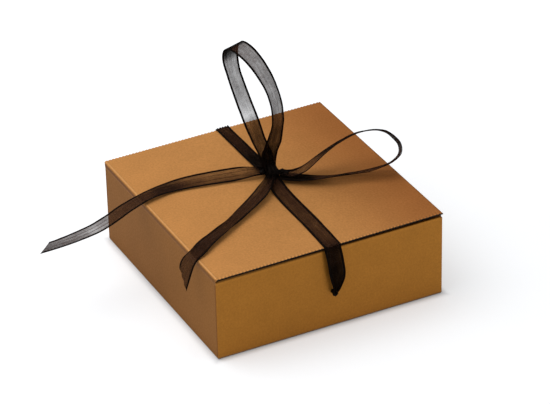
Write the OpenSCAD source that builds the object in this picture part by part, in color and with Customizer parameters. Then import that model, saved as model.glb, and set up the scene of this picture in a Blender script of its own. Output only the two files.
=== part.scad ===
// Folding gift box: one die-cut corrugated blank with a hinged tuck lid, closed by two sheer ribbons tied in a bow.
// Origin at the centre of the underside. The lid hinges along the -X edge, its tuck flap drops behind the +X wall,
// and the ribbons come out of the double side walls at -Y and +Y. Millimetres.

/* [Box] */
// Length from the outside of the back wall to the outside of the front wall
box_len = 200; // [150:1:260]
// Width over the two side walls
box_wid = 206; // [160:1:260]
// Height from the underside to the top of the lid at its hinge
box_height = 74; // [60:1:110]
// Radius of the outside of the folds along the bottom
base_fold_r = 1.4; // [0.4:0.1:1.5]

/* [Board] */
// Thickness of the corrugated board
board = 1.6; // [1.2:0.1:2]
// Air between two plies that lie against each other
ply_gap = 0.1; // [0.05:0.05:0.3]
// Outside radius of the roll-over fold along the top of a side wall
roll_r = 0.8; // [0.6:0.1:1.5]
// How far the roll-over fold reaches down past its own thickness
roll_skirt = 0.6; // [0.2:0.1:3]

/* [Lid] */
// How far the cut side edges of the lid stand out past the side walls
lid_overhang = 1.1; // [0.5:0.1:3]
// How far the fold at the free end of the lid stands out past the front wall
lid_nose = 0.3; // [0:0.1:1]
// Angle at which the springy hinge crease holds the closed lid above the walls
lid_spring = 0.6; // [0.2:0.1:0.8]
// Air between the closed lid and the side walls, next to the hinge
lid_seat_gap = 0.5; // [0.05:0.05:0.5]

/* [Tuck flap] */
// Depth of the tuck flap below its crease
tuck_depth = 22; // [14:1:26]
// Angle at which the tuck flap leans in from the front wall
tuck_lean = 6; // [5:0.5:10]
// Radius of the two free corners of the tuck flap
tuck_corner_r = 12; // [3:1:13]
// Air between each end of the tuck flap and the inner side wall
tuck_end_gap = 4; // [2:0.5:10]
// Air between the top of the tuck flap and the front wall
tuck_wall_gap = 0.4; // [0.3:0.1:0.6]
// How far the top of the front wall lies below the hinge line
front_wall_drop = 0.4; // [0.2:0.1:2]

/* [Dust flaps and lock tabs] */
// Length of the four corner flaps held between the plies of the side walls
dust_flap_len = 62; // [30:1:68]
// Slope across the free end of a corner flap
dust_flap_taper = 6; // [2:1:12]
// Length of a lock tab
tab_len = 26; // [14:1:40]
// Distance from the middle of the wall to the middle of a lock tab
tab_place = 52; // [30:1:52]
// Air round a lock tab in its slot
tab_fit = 0.25; // [0.1:0.05:0.5]
// How far the end of a lock tab stays above the underside
tab_recess = 0.3; // [0.1:0.1:1]

/* [Ribbon] */
// Width of the ribbon
ribbon_wid = 15; // [10:1:20]
// Thickness of the ribbon
ribbon_thk = 0.3; // [0.2:0.05:0.4]
// Radius of the punched hole that the ribbon comes out of
hole_r = 2; // [1.6:0.1:3]
// Height of the punched hole above the underside
hole_height = 32.5; // [15:0.5:45]
// Distance of the punched hole from the middle of the wall, towards the front wall
hole_shift = 1.5; // [-10:0.5:10]
// Radius of the ribbon bunched up inside the hole
stem_r = 1.4; // [0.8:0.1:1.5]
// Radius of the flattened stop knot between the plies
stop_knot_r = 4; // [3.2:0.1:8]
// Radius of the gathered ribbon just outside the hole
gather_r = 2.4; // [1.5:0.1:3]
// Air between the ribbon and the board that it lies on
ribbon_film = 0.2; // [0.1:0.05:0.4]

/* [Bow] */
// Distance of the bow knot from the middle of the lid, towards the front wall
knot_x = 7; // [-20:0.5:20]
// Distance of the bow knot from the middle of the lid, towards the +Y side wall
knot_y = 13; // [-20:0.5:20]
// Length of the bow knot, along the straps
knot_len = 16; // [12:0.5:20]
// Width of the bow knot, across the straps
knot_wid = 17; // [11:0.5:20]
// Height of the bow knot above the lid
knot_height = 12; // [9:0.5:14]
// Radius of the rounded folds of the knot
knot_fold_r = 3.5; // [2.5:0.5:4]

/* [Hidden] */

liner_gold = [0.72, 0.51, 0.29];
wall_bronze = [0.56, 0.38, 0.16];
board_brown = [0.50, 0.34, 0.19];
ribbon_black = [0.08, 0.06, 0.06];

half_len = box_len / 2;
half_wid = box_wid / 2;
hinge_z = box_height - board;
wall_top = hinge_z - lid_seat_gap;

// Plies of a side wall, measured in from its outer face
flap_ply = board + ply_gap;
inner_ply = 2 * (board + ply_gap);
wall_depth = inner_ply + board;
roll_base = wall_top - board - roll_skirt;
corner_y = half_wid - flap_ply;
inside_wid = 2 * (half_wid - wall_depth);

tuck_axis_x = half_len - board - tuck_wall_gap - board / 2;
tuck_axis_z = hinge_z - board / 2;
tuck_wid = inside_wid - 2 * tuck_end_gap;

// Height of the middle of a ribbon that lies on the board
ride = ribbon_film + ribbon_thk / 2;
lid_edge = half_wid + lid_overhang;
gather_y = lid_edge + ribbon_film + gather_r;

$fn = 32;

// ---- Small helpers ----

// +1 for the far (+Y) side, -1 for the near (-Y) side
module on_side(side) {
    mirror([0, side < 0 ? 1 : 0, 0]) children();
}

// Turns the lid up about its hinge by the spring of the crease
module sprung() {
    translate([-half_len, 0, hinge_z]) rotate([0, -lid_spring, 0]) translate([half_len, 0, -hinge_z]) children();
}

// Rectangle from [0, 0] to [w, h] with its two upper corners rounded
module round_top(w, h, r) {
    translate([r, 0]) square([w - 2 * r, h]);
    square([w, h - r]);
    for (x = [r, w - r]) intersection() {
        translate([x, h - r]) circle(r);
        square([w, h]);
    }
}

// A plate that stands on edge along X, from [x0, x1] and [z0, z1], with its outer face at half_wid - depth
module side_ply(x0, x1, z0, z1, depth) {
    translate([x0, half_wid - depth - board, z0]) cube([x1 - x0, board, z1 - z0]);
}

// ---- Board ----

module bottom_profile(w) {
    translate([0, board]) mirror([0, 1]) translate([-w / 2, 0]) round_top(w, board, base_fold_r);
}

module bottom_panel() {
    color(board_brown)
    difference() {
        intersection() {
            rotate([90, 0, 0]) linear_extrude(box_wid + 2, center = true) bottom_profile(box_len);
            rotate([90, 0, 90]) linear_extrude(box_len + 2, center = true) bottom_profile(box_wid);
        }
        for (side = [-1, 1], place = [-1, 1])
            on_side(side)
            translate([place * tab_place - tab_len / 2 - tab_fit, half_wid - wall_depth - tab_fit, -1])
            cube([tab_len + 2 * tab_fit, board + 2 * tab_fit, board + 2]);
    }
}

module back_wall() {
    color(wall_bronze)
    translate([-half_len, -corner_y, board]) cube([board, 2 * corner_y, hinge_z - board]);
}

module front_wall() {
    color(wall_bronze)
    translate([half_len - board, -corner_y, board])
    cube([board, 2 * corner_y, hinge_z - front_wall_drop - board]);
}

module ribbon_hole() {
    translate([hole_shift, half_wid + 1, hole_height]) rotate([90, 0, 0]) cylinder(h = board + 2, r = hole_r);
}

module outer_side_wall(side) {
    color(wall_bronze)
    on_side(side)
    difference() {
        union() {
            side_ply(-half_len, half_len, board, roll_base, 0);
            // Short ends that stand up past the roll-over beside the front and back walls
            side_ply(-half_len, -half_len + board, roll_base, wall_top - roll_r, 0);
            side_ply(half_len - board, half_len, roll_base, wall_top - roll_r, 0);
        }
        ribbon_hole();
    }
}

module roll_over(side) {
    color(liner_gold)
    on_side(side)
    translate([half_len - flap_ply, half_wid - wall_depth, roll_base])
    rotate([90, 0, -90])
    linear_extrude(box_len - 2 * flap_ply)
    difference() {
        translate([-wall_depth, 0]) round_top(wall_depth, wall_top - roll_base, roll_r);
        translate([board - wall_depth, -1]) square([wall_depth - 2 * board, wall_top - roll_base - board + 1]);
    }
}

module inner_side_wall(side) {
    color(board_brown)
    on_side(side) {
        side_ply(-half_len + flap_ply, half_len - flap_ply, board, roll_base, inner_ply);
        for (place = [-1, 1])
            side_ply(place * tab_place - tab_len / 2, place * tab_place + tab_len / 2,
                tab_recess, board, inner_ply);
    }
}

// end = -1 folds in from the back wall, +1 from the front wall
module corner_flap(side, end) {
    color(board_brown)
    on_side(side)
    mirror([end > 0 ? 1 : 0, 0, 0])
    translate([-half_len, half_wid - flap_ply, board + ply_gap])
    rotate([90, 0, 0])
    linear_extrude(board)
    polygon([
        [board, 0], [dust_flap_len - dust_flap_taper, 0], [dust_flap_len, dust_flap_taper],
        [dust_flap_len, roll_base - board - 2 * ply_gap - dust_flap_taper],
        [dust_flap_len - dust_flap_taper, roll_base - board - 2 * ply_gap],
        [board, roll_base - board - 2 * ply_gap]
    ]);
}

module lid_panel() {
    color(liner_gold)
    sprung()
    translate([0, lid_edge, hinge_z])
    rotate([90, 0, 0])
    linear_extrude(2 * lid_edge) {
        translate([-half_len + board, 0]) square([box_len + lid_nose - 2 * board, board]);
        for (x = [-half_len + board, half_len + lid_nose - board])
            intersection() {
                translate([x, 0]) circle(board, $fn = 64);
                translate([-half_len, 0]) square([box_len + lid_nose, board]);
            }
    }
}

module tuck_flap() {
    color(board_brown)
    sprung()
    translate([tuck_axis_x, 0, tuck_axis_z])
    rotate([0, tuck_lean, 0]) {
        rotate([90, 0, 0]) cylinder(h = tuck_wid, r = board / 2, center = true);
        rotate([0, 90, 0])
        linear_extrude(board, center = true)
        rotate(-90) translate([-tuck_wid / 2, 0]) round_top(tuck_wid, tuck_depth, tuck_corner_r);
    }
}

// ---- Ribbon ----

// A station of a ribbon is [x, y, z, heading, tilt, share]: its middle, the compass heading and the upward
// tilt of the line across the ribbon, and the share of the full width that shows there
function blend_at(a, b, c, d, t) =
    0.5 * (2 * b + (c - a) * t + (2 * a - 5 * b + 4 * c - d) * t * t + (3 * b - a - 3 * c + d) * t * t * t);
function smoothed(r, steps) = [
    for (i = [0 : len(r) - 2], k = [0 : steps - 1])
        blend_at(r[max(i - 1, 0)], r[i], r[i + 1], r[min(i + 2, len(r) - 1)], k / steps),
    r[len(r) - 1]
];
function place(s) = [s[0], s[1], s[2]];
function across(s) = [cos(s[3]) * cos(s[4]), sin(s[3]) * cos(s[4]), sin(s[4])];
function unit(v) = v / norm(v);
function along(r, i) = unit(place(r[min(i + 1, len(r) - 1)]) - place(r[max(i - 1, 0)]));
function ring(r, i, slant) =
    let (
        run = along(r, i),
        half = across(r[i]) * ribbon_wid * r[i][5] / 2,
        face = unit(cross(run, across(r[i]))) * ribbon_thk / 2,
        end = i == len(r) - 1 ? run * slant : [0, 0, 0]
    )
    [for (c = [[-1, -1], [1, -1], [1, 1], [-1, 1]]) place(r[i]) + half * c[0] + face * c[1] - end * c[0]];

// A strip of ribbon through the stations; slant cuts its last end off at an angle
module strip(stations, steps = 3, slant = 0) {
    r = smoothed(stations, steps);
    last = len(r) - 1;
    color(ribbon_black)
    polyhedron(
        points = [for (i = [0 : last]) each ring(r, i, slant)],
        faces = concat(
            [[0, 1, 2, 3], [for (c = [3 : -1 : 0]) 4 * last + c]],
            [for (i = [0 : last - 1], c = [0 : 3]) [4 * i + c, 4 * i + 4 + c, 4 * i + 4 + (c + 1) % 4]],
            [for (i = [0 : last - 1], c = [0 : 3]) [4 * i + c, 4 * i + 4 + (c + 1) % 4, 4 * i + (c + 1) % 4]]
        ),
        convexity = 4
    );
}

// Height of the top of the sprung lid at x
function lid_top(x) = box_height + (x + half_len) * tan(lid_spring);

// A station over the lid, h above its surface
function on_lid(x, y, h, heading, tilt, share) = [x, y, lid_top(x) + h, heading, tilt, share];

// A station of a tail over the lid: s is its share of the way from the knot to the hinge edge
function over_lid(s, y, h, heading, tilt, share) =
    on_lid(knot_x - s * (knot_x + half_len), knot_y + y, h, heading, tilt, share);

// A station of a tail past the hinge edge: out is its distance beyond the edge
function past_edge(out, y, h, heading, tilt, share) =
    [-half_len - out, knot_y + y, box_height + h, heading, tilt, share];

// A station of a loop, measured from the foot of the knot
function from_knot(p, heading, tilt, share) =
    [knot_x + p[0], knot_y + p[1], lid_top(knot_x) + p[2], heading, tilt, share];

// The strap runs from the knot over the lid, round its cut edge and down the outside of the wall to the hole.
// side is -1 near, +1 far; edge_x is where it crosses the edge; bow_out is how far it bows away from the wall
module strap(side, edge_x, bow_out, share) {
    run_y = side * lid_edge - knot_y;
    aside = knot_x - edge_x;
    drop = lid_top(edge_x) - hole_height;
    wall_y = side * (lid_edge + ride);
    strip([
        on_lid(knot_x, knot_y + side * knot_len * 0.15, knot_height * 0.3, 0, lid_spring, 0.6 * share),
        on_lid(edge_x + aside * 0.6, knot_y + side * (knot_len / 2 + 3), ride + 1.2, 0, lid_spring, 0.85 * share),
        on_lid(edge_x + aside * 0.3, knot_y + run_y * 0.3, ride, 0, lid_spring, share),
        on_lid(edge_x + aside * 0.2, knot_y + run_y * 0.7, ride, 0, lid_spring, share),
        on_lid(edge_x, side * (lid_edge - 1.5), ride, 0, lid_spring, share),
        on_lid(edge_x, side * (lid_edge + 0.05), ride + 0.05, 0, lid_spring, share),
        on_lid(edge_x, wall_y + side * 0.05, -0.1, 0, lid_spring, share),
        on_lid(edge_x, wall_y + side * 0.2, -board, 0, lid_spring, share),
        [edge_x + 0.4 * (hole_shift - edge_x) + bow_out * 0.5, wall_y + side * bow_out * 0.8,
            hole_height + drop * 0.68, 0, 0, share],
        [edge_x + 0.7 * (hole_shift - edge_x) + bow_out, wall_y + side * bow_out,
            hole_height + drop * 0.36, 0, 0, 0.95 * share],
        [hole_shift + bow_out * 0.5, side * (gather_y + bow_out * 0.2), hole_height + drop * 0.13, 0, 0, 0.5 * share],
        [hole_shift, side * gather_y, hole_height + gather_r * 0.3, 0, 0, 0.2]
    ]);
}

module strap_near() { strap(-1, 0.7, 2.5, 0.97); }
module strap_far() { strap(1, 7.8, 1.5, 0.78); }

module gather(side) {
    color(ribbon_black)
    translate([hole_shift, side * gather_y, hole_height]) sphere(gather_r);
}

// The end of the ribbon: bunched up through the hole, and knotted flat between the plies behind it
module stop_knot(side) {
    color(ribbon_black)
    on_side(side)
    translate([hole_shift, half_wid, hole_height])
    rotate([90, 0, 0]) {
        translate([0, 0, -lid_overhang]) cylinder(h = lid_overhang + board + 2 * ply_gap, r = stem_r);
        translate([0, 0, board + ply_gap]) cylinder(h = board, r = stop_knot_r);
    }
}

module bow_knot() {
    color(ribbon_black)
    translate([knot_x, knot_y, lid_top(knot_x) + ribbon_film])
    hull() {
        for (end = [-1, 1]) {
            translate([0, end * (knot_len / 2 - knot_fold_r), knot_fold_r]) sphere(knot_fold_r, $fn = 20);
            translate([end * (knot_wid / 2 - knot_fold_r), -end, knot_fold_r + 0.5]) sphere(knot_fold_r, $fn = 20);
        }
        translate([0, 0, knot_height - knot_fold_r - ribbon_film]) sphere(knot_fold_r, $fn = 20);
    }
}

// Loop that stands up over the lid and leans towards the far side. Each point of its route is its distance from
// the knot towards the near side, its height above the lid, and the heading and tilt of the ribbon across it
upright_heading = 20;
upright_route = [
    [-1.2, 5, 20, 0], [-4.8, 18, 22, -3], [-12.5, 29.5, 21, -1], [-19, 41.5, 13, 4], [-25.5, 54, 13, 4],
    [-32.5, 68, 15, 3], [-39, 83, 17, 4], [-42, 95.5, 4, 12], [-40.5, 105, -4, 17], [-35, 108.5, -4, 17],
    [-25.5, 106.8, 2, 13], [-14.5, 101, 12, 6], [-4, 91.5, 19, 1], [3.5, 81, 25, -3], [8, 69, 26, -2],
    [9.1, 55, 22, 0], [6.4, 43, 13, -1], [3.5, 33, 4, -4], [-1.3, 20, 5, -4], [-0.2, 7, 20, 0]
];
module upright_loop() {
    last = len(upright_route) - 1;
    strip([
        for (i = [0 : last])
            let (p = upright_route[i], share = i == 0 || i == last ? 0.8 : 1)
            from_knot([p[0] * sin(upright_heading), -p[0] * cos(upright_heading), p[1]], p[2], p[3], share)
    ], steps = 2);
}

// Loop that leans out over the front edge of the lid. Each point of its route is its place from the foot of the
// knot, the heading and tilt of the ribbon across it and the share of its width that shows
side_route = [
    [3, -4, 6, 64, -4, 0.6], [13, -10, 4.8, 64, -4, 0.85], [24, -12, 7.4, 64, -5, 1],
    [33, -13, 12.8, 64, -8, 1], [43, -14, 19.4, 64, -16, 0.97], [54.5, -15.5, 25.6, 64, -22, 0.92],
    [66.5, -17, 29.9, 64, -26, 0.92], [75.5, -19, 31.5, 64, -29, 0.92], [85, -23, 32, 65, -31, 0.92],
    [91.5, -27.5, 30.5, 68, -33, 0.92], [96, -33, 26.4, 71, -34, 0.92], [98, -38, 21.8, 72, -32, 0.92],
    [95.5, -42, 16.2, 72, -32, 0.92], [89, -43, 12, 71, -32, 0.92], [82, -42, 9.4, 70, -30, 0.92],
    [69, -38, 6.2, 68, -24, 0.92], [57, -34, 5, 66, -26, 0.92], [45, -31.5, 5, 64, -27, 0.92],
    [32.5, -26, 4.2, 64, -20, 0.95], [19, -18, 3.2, 64, -7, 0.95], [4, -7, 3.4, 64, 0, 0.75]
];
module side_loop() {
    strip([
        for (s = side_route)
            from_knot([s[0], s[1], s[2]], s[3], s[4], s[5])
    ], steps = 2);
}

// Tail that runs over the hinge edge and hangs free beyond it
module long_tail() {
    strip([
        over_lid(0, 2, 5.5, 100, 5, 0.5), over_lid(0.11, 8.5, 5, 96, 10, 0.85), over_lid(0.26, 14, 3.5, 88, 18, 1),
        over_lid(0.45, 18.5, 3.3, 88, 15, 1), over_lid(0.62, 22.5, 2.5, 90, 10, 1),
        over_lid(0.77, 24, 1.6, 96, 1, 1), over_lid(0.93, 21, 2, 102, -6, 1),
        past_edge(14, 15, 0.2, 104, -4, 1), past_edge(29, 11, -3.1, 102, -2, 1), past_edge(45, 8, -6.6, 98, -1, 1),
        past_edge(62, 6.5, -8.5, 94, -3, 1), past_edge(76, 7.5, -10.8, 90, -5, 1), past_edge(88.5, 10.5, -13.4, 84, -6, 1)
    ], slant = 6);
}

// Tail that runs to the near left and drops just over the hinge edge
module short_tail() {
    strip([
        over_lid(0, -2, 5.2, 125, -8, 0.5), over_lid(0.165, -20.5, 4, 123, -12, 0.92),
        over_lid(0.31, -31.8, 2.7, 122, -13, 1), over_lid(0.555, -48.8, 2.2, 122, -13, 0.86),
        over_lid(0.692, -57.3, 2.1, 122, -13, 0.93), over_lid(0.834, -65.8, 1.9, 124, -11, 1),
        over_lid(0.94, -74.2, 1.8, 124, -7, 0.95), past_edge(6, -81, -1, 120, -4, 0.9),
        past_edge(14, -86.5, -11.5, 110, 5, 0.85)
    ], slant = 7);
}

bottom_panel();
back_wall();
front_wall();
outer_side_wall(-1);  // outer_side_wall_near
outer_side_wall(1);  // outer_side_wall_far
roll_over(-1);  // roll_over_near
roll_over(1);  // roll_over_far
inner_side_wall(-1);  // inner_side_wall_near
inner_side_wall(1);  // inner_side_wall_far
corner_flap(-1, -1);  // back_corner_flap_near
corner_flap(1, -1);  // back_corner_flap_far
corner_flap(-1, 1);  // front_corner_flap_near
corner_flap(1, 1);  // front_corner_flap_far
lid_panel();
tuck_flap();
stop_knot(-1);  // stop_knot_near
stop_knot(1);  // stop_knot_far
gather(-1);  // gather_near
gather(1);  // gather_far
strap_near();
strap_far();
bow_knot();
upright_loop();
side_loop();
long_tail();
short_tail();
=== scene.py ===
import math

import bmesh
import bpy
from mathutils import Matrix, Vector, noise


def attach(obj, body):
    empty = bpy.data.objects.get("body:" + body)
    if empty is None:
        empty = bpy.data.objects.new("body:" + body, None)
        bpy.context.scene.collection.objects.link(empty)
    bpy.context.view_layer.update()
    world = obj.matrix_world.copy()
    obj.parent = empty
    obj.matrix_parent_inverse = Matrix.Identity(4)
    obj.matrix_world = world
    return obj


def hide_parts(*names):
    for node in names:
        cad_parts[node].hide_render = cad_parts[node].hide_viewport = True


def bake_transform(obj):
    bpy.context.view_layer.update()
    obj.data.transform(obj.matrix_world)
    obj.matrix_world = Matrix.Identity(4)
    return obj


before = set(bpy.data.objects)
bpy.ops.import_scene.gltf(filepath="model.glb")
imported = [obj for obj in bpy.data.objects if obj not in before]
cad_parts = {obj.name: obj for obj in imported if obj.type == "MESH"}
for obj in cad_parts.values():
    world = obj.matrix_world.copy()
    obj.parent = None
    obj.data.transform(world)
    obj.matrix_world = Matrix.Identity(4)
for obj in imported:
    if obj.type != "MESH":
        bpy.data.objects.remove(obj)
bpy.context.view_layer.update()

# Folding gift box of metallic corrugated board, tied with two sheer ribbons. Lengths are in millimetres up to
# the point where a mesh is made, and MM turns them into metres.
MM = 0.001

# ---- The box, as in the part's source ----
BOX_LEN, BOX_WID, BOX_HEIGHT = 200, 206, 74
BOARD = 1.6
HALF_LEN, HALF_WID = BOX_LEN / 2, BOX_WID / 2
HINGE_Z = BOX_HEIGHT - BOARD
# How far the closed lid stands open, in degrees, and about how much it rises over each millimetre
LID_SPRING, LID_SLOPE = 0.6, 0.0105
# Half the lid's width, and how far it reaches past the front wall
LID_EDGE = HALF_WID + 1.1
LID_NOSE = 0.3
# Lengths of the quarter turn at either end of the lid's top, and of the flat between them
LID_TURN = math.pi / 2 * BOARD
LID_FLAT = BOX_LEN + LID_NOSE - 2 * BOARD
# The tuck flap's crease, and the angle by which the flap leans inwards
TUCK_X, TUCK_Z = 97.2, HINGE_Z - BOARD / 2
TUCK_LEAN, TUCK_DEPTH, TUCK_WID, TUCK_CORNER_R = 6, 22, 188, 12

# ---- The ribbon ----
RIBBON_WID, RIBBON_THK = 15, 0.2
# The share of light that one layer stops, and the width of the dark woven edge
SHEER_COVER, SELVEDGE = 0.52, 1.8
THREAD_PITCH = 0.36
# Height of a ribbon's middle over the board that it lies on
RIDE = 0.35
HOLE_HEIGHT, HOLE_SHIFT, GATHER_R = 32.5, 1.5, 2.4
GATHER_Y = LID_EDGE + 0.2 + GATHER_R
KNOT_X, KNOT_Y = 7, 13
KNOT_LEN, KNOT_HEIGHT = 16, 12
# Length of ribbon over which a slanted cut end runs out
SLANT_REACH = 14
# Height of the crimp in the cloth, and how fast it and the wander of the pleats change, per millimetre
CRIMP, CRIMP_RATE, WANDER_RATE = 0.18, 0.16, 0.05
# Columns of mesh to a pleat, and rows to each stretch of a ribbon's route and of a fold's profile
COLUMNS_PER_PLEAT, ROUTE_STEPS, PROFILE_STEPS = 8, 6, 4

# ---- Corrugated board ----
FLUTE_PITCH = 3
LINER_THK, MEDIUM_THK = 0.22, 0.24
FLUTE_DEPTH = (BOARD - 2 * LINER_THK - MEDIUM_THK) / 2
STEPS_PER_FLUTE = 8
# Height of the wave that the flutes leave in the lid's top liner, all over it and at its cut edges
LINER_WAVE, CUT_WAVE = 0.006, 0.26
# How far in from a cut edge the board was pressed as it was cut, and how deep
PRESS_REACH, PRESS_DEPTH = 0.9, 0.1
# Material slots of the lid and of the tuck flap. The last is painted shade: a near-black tone for the hollows
# between the flutes, the insides of the liners and the bottom liner's cut edges.
SKIN, INSIDE, CUT, CORE_SHADE = range(4)

# ---- Creases, with painted shade and highlights over them ----
# Places of the painted shade, a dark line over the crease, and of the painted highlight, a pale line along
# the top edge, over the hinge fold, measured up its profile
FOLD_SHADE_AT, FOLD_HIGHLIGHT_AT = 2.5, 6.4
# Heights on a side wall where the painted shadow under the lid's edge starts to darken its top, where it is
# darkest, and of the painted highlight, a pale line below
WALL_SHADE_LOW, WALL_SHADE_TOP, WALL_HIGHLIGHT = 70.3, 71.7, 69.6
# How much the three rise over each millimetre from hinge to front
WALL_SHADE_RISE = 0.008

# ---- Light ----
AMBIENT = 0.5
KEY_PLACE, KEY_AIM, KEY_SIZE, KEY_POWER = (-0.38, 0.24, 0.9), (-0.02, 0, 0.05), 0.9, 5.0


# ---------------------------------------------------------------- camera

def make_camera():
    """A long lens, which looks at the box from above and from beyond its near corner at the hinge."""
    azimuth, elevation, roll = math.radians(-26.31), math.radians(30.78), math.radians(-1.4)
    aim, distance = Vector((14.6, 22.4, 44.6)), 2426.6
    back = Vector((math.sin(azimuth) * math.cos(elevation), -math.cos(azimuth) * math.cos(elevation),
                   math.sin(elevation)))
    data = bpy.data.cameras.new("camera")
    data.sensor_fit, data.sensor_width, data.lens = "HORIZONTAL", 36, 194.15
    data.clip_end = 20
    camera = bpy.data.objects.new("camera", data)
    turn = back.to_track_quat("Z", "Y").to_matrix() @ Matrix.Rotation(roll, 3, "Z")
    camera.matrix_world = Matrix.Translation((aim + back * distance) * MM) @ turn.to_4x4()
    bpy.context.scene.collection.objects.link(camera)
    bpy.context.scene.camera = camera


# ---------------------------------------------------------------- materials

class Finish:
    """A material in the making. Its methods add shader nodes and give back their outputs."""

    def __init__(self, name):
        self.material = bpy.data.materials.new(name)
        self.material.use_nodes = True
        self.tree = self.material.node_tree
        self.shader = self.tree.nodes["Principled BSDF"]

    def node(self, kind, inputs, output=0, **settings):
        made = self.tree.nodes.new("ShaderNode" + kind)
        for name, value in settings.items():
            setattr(made, name, value)
        for key, value in inputs.items():
            self.set(made.inputs[key], value)
        return made.outputs[output]

    def set(self, socket, value):
        if isinstance(value, bpy.types.NodeSocket):
            self.tree.links.new(value, socket)
        else:
            socket.default_value = value

    def surface(self, **values):
        for name, value in values.items():
            self.set(self.shader.inputs[name.replace("_", " ")], value)

    def place(self, output="Object"):
        return self.node("TexCoord", {}, output)

    def axis(self, vector, index):
        return self.node("SeparateXYZ", {0: vector}, index)

    def stretched(self, vector, scale):
        return self.node("Mapping", {"Vector": vector, "Scale": scale})

    def noise(self, vector, scale, detail=2.0, rough=0.5):
        return self.node("TexNoise", {"Vector": vector, "Scale": scale, "Detail": detail, "Roughness": rough})

    def math(self, operation, a, b=0.0, c=0.0):
        return self.node("Math", {0: a, 1: b, 2: c}, operation=operation)

    def between(self, value, low, high, to_low=0.0, to_high=1.0, smooth=False):
        ends = {"Value": value, "From Min": low, "From Max": high, "To Min": to_low, "To Max": to_high}
        return self.node("MapRange", ends, interpolation_type="SMOOTHSTEP" if smooth else "LINEAR")

    def times(self, a, b):
        return self.math("MULTIPLY", a, b)

    def minus(self, a, b):
        return self.math("SUBTRACT", a, b)

    def off(self, value, middle):
        """The distance of value from middle"""
        return self.math("ABSOLUTE", self.minus(value, middle))

    def ripple(self, value, pitch):
        """Sine of a length in metres, with a pitch in millimetres"""
        return self.math("SINE", self.times(value, math.tau / (pitch * MM)))

    def mix(self, share, a, b):
        return self.node("Mix", {0: share, 6: a, 7: b}, 2, data_type="RGBA")

    def shaded(self, colour, amount):
        """colour times amount"""
        if not isinstance(colour, bpy.types.NodeSocket):
            colour = colour[:3]
        return self.node("VectorMath", {0: colour, 3: amount}, operation="SCALE")

    def bump(self, height, distance):
        return self.node("Bump", {"Height": height, "Distance": distance * MM, "Strength": 1.0})


def rgb(red, green, blue):
    """A colour written as it shows on a screen, 0 to 255, as the shader takes it."""
    def linear(v):
        v /= 255
        return v / 12.92 if v <= 0.04045 else ((v + 0.055) / 1.055) ** 2.4
    return (linear(red), linear(green), linear(blue), 1)


# Tint of the liner's gleam, and the noise scales of its grain, mottle and cloud, per metre
GLEAM = (0.85, 0.55, 0.25, 1)
GRAIN, MOTTLE, CLOUD = 620, 48, 9
# The second and third colours are painted light on the hinge fold: a pale painted highlight along its top
# edge, and a dark painted shade over its crease.
RAW_KRAFT, LIP_HIGHLIGHT, GROOVE_SHADE = rgb(134, 86, 42), rgb(222, 172, 118), rgb(84, 38, 0)
# The ribbon's thread where it is one layer thick, and where it is several
SHEER_TONE, DENSE_TONE = rgb(60, 37, 26), rgb(17, 11, 8)


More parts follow.
